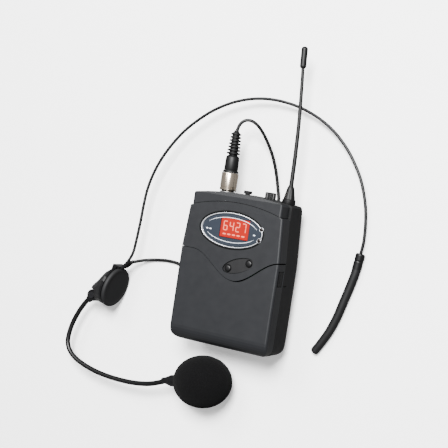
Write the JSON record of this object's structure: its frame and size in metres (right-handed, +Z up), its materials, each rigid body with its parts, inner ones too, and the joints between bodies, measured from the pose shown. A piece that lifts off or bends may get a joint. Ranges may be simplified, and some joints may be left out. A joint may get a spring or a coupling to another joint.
{
  "type": "bodypack transmitter with headworn microphone",
  "caption": "Wireless bodypack transmitter with display, whip antenna and belt clip, wired to a headworn boom microphone with foam windscreen.",
  "frame": {"origin": "middle of the belt clip's outer face, which rests on the table at z = 0", "axes": "+Z up from the table, out of the pack's front; +Y towards the antenna end; +X to the pack's right as seen from the front"},
  "size_m": [0.2106, 0.2433, 0.0393],
  "materials": {
    "case": "satin textured dark grey",
    "black_plastic": "satin",
    "gloss_black": "semi-gloss",
    "black_rubber": "smooth rubber",
    "soft_pad": "matte soft pad",
    "cord": "satin cable jacket",
    "gooseneck": "gloss heat-shrunk sleeve",
    "foam": "open-cell foam",
    "steel": "bright",
    "black_steel": "black coated spring wire",
    "silver_trim": "satin chrome",
    "chrome": "polished",
    "brass": "turned",
    "circuit_board": "solder mask",
    "cell_sleeve": "plain coloured sleeve",
    "face_plate": "smoked blue-grey face",
    "display_red": "lit red-orange display",
    "led_lens": "tinted lens"
  },
  "bodies": {
    "pack": {"rear_shell": "case", "control_panel": "case", "top_cap": "case", "door_hinge_pin": "steel", "case_screw_1": "steel", "case_screw_2": "steel", "case_screw_3": "steel", "case_screw_4": "steel", "display_ring": "silver_trim", "display_plate": "face_plate", "display_window": "display_red", "display_module": "black_plastic", "led_upper": "led_lens", "led_lower": "led_lens", "button_plate": "black_plastic", "main_board": "circuit_board", "battery_tray": "black_plastic", "battery_1": "cell_sleeve", "battery_2": "cell_sleeve", "contact_link": "steel", "contact_plus": "steel", "contact_minus": "steel", "clip_pin": "steel", "clip_spring": "steel", "mic_jack": "steel", "volume_pot": "steel", "switch_body": "steel", "antenna_socket": "brass", "antenna_base": "black_rubber", "antenna_rod": "black_rubber", "antenna_tip": "black_rubber", "plug_shell": "chrome", "plug_insert": "black_plastic", "plug_collar": "black_plastic", "cable_boot": "black_rubber", "cord_run_pod": "cord", "cord_run_plug": "cord", "cord_hank": "cord", "cord_tie": "cord", "ear_pad": "soft_pad", "pod_housing": "gloss_black", "pivot_washer": "steel", "pivot_screw": "steel", "cable_gland": "black_rubber", "headband_wire": "black_steel"},
    "door": {"battery_door": "case"},
    "left_latch": {"latch_left": "black_plastic"},
    "right_latch": {"latch_right": "black_plastic"},
    "left_button": {"button_left": "black_plastic"},
    "right_button": {"button_right": "black_plastic"},
    "switch_slider": {"power_switch": "black_plastic"},
    "knob": {"volume_knob": "black_plastic"},
    "clip": {"belt_clip": "black_plastic"},
    "boom": {"boom_knuckle": "gloss_black", "boom_gooseneck": "gooseneck", "capsule_ferrule": "gloss_black", "mic_capsule": "steel"},
    "foam_cover": {"windscreen": "foam"},
    "temple_rest": {"temple_collar": "black_plastic", "temple_sleeve": "black_rubber"}
  },
  "joints": [
    {"name": "battery_door_hinge", "type": "hinge", "parent": "pack", "child": "door", "pos_m": [0, -0.0469, 0.027], "axis": [1, 0, 0], "range_deg": [0, 90]},
    {"name": "latch_left_press", "type": "slide", "parent": "door", "child": "left_latch", "axis": [1, 0, 0], "range_m": [0, 0.0012], "stiffness_N_per_m": 300},
    {"name": "latch_right_press", "type": "slide", "parent": "door", "child": "right_latch", "axis": [-1, 0, 0], "range_m": [0, 0.0012], "stiffness_N_per_m": 300},
    {"name": "button_left_press", "type": "slide", "parent": "pack", "child": "left_button", "axis": [0, 0, -1], "range_m": [0, 0.0006], "stiffness_N_per_m": 400},
    {"name": "button_right_press", "type": "slide", "parent": "pack", "child": "right_button", "axis": [0, 0, -1], "range_m": [0, 0.0006], "stiffness_N_per_m": 400},
    {"name": "power_switch_slide", "type": "slide", "parent": "pack", "child": "switch_slider", "axis": [1, 0, 0], "range_m": [0, 0.0025]},
    {"name": "volume_turn", "type": "hinge", "parent": "pack", "child": "knob", "pos_m": [0.0145, 0.053, 0.022], "axis": [0, 1, 0], "range_deg": [-150, 150]},
    {"name": "belt_clip_open", "type": "hinge", "parent": "pack", "child": "clip", "pos_m": [0, 0.025, 0.0052], "axis": [1, 0, 0], "range_deg": [0, 14], "stiffness_Nm_per_rad": 0.5, "springref_deg": -17.19},
    {"name": "boom_swing", "type": "hinge", "parent": "pack", "child": "boom", "pos_m": [-0.1144, -0.03576, 0.0125], "axis": [0, 0, -1], "range_deg": [0, 50]},
    {"name": "windscreen_pull", "type": "slide", "parent": "boom", "child": "foam_cover", "axis": [0.982, 0.1889, 0], "range_m": [0, 0.02]},
    {"name": "temple_rest_slide", "type": "slide", "parent": "pack", "child": "temple_rest", "axis": [-0.116, -0.9932, 0], "range_m": [0, 0.01]}
  ]
}
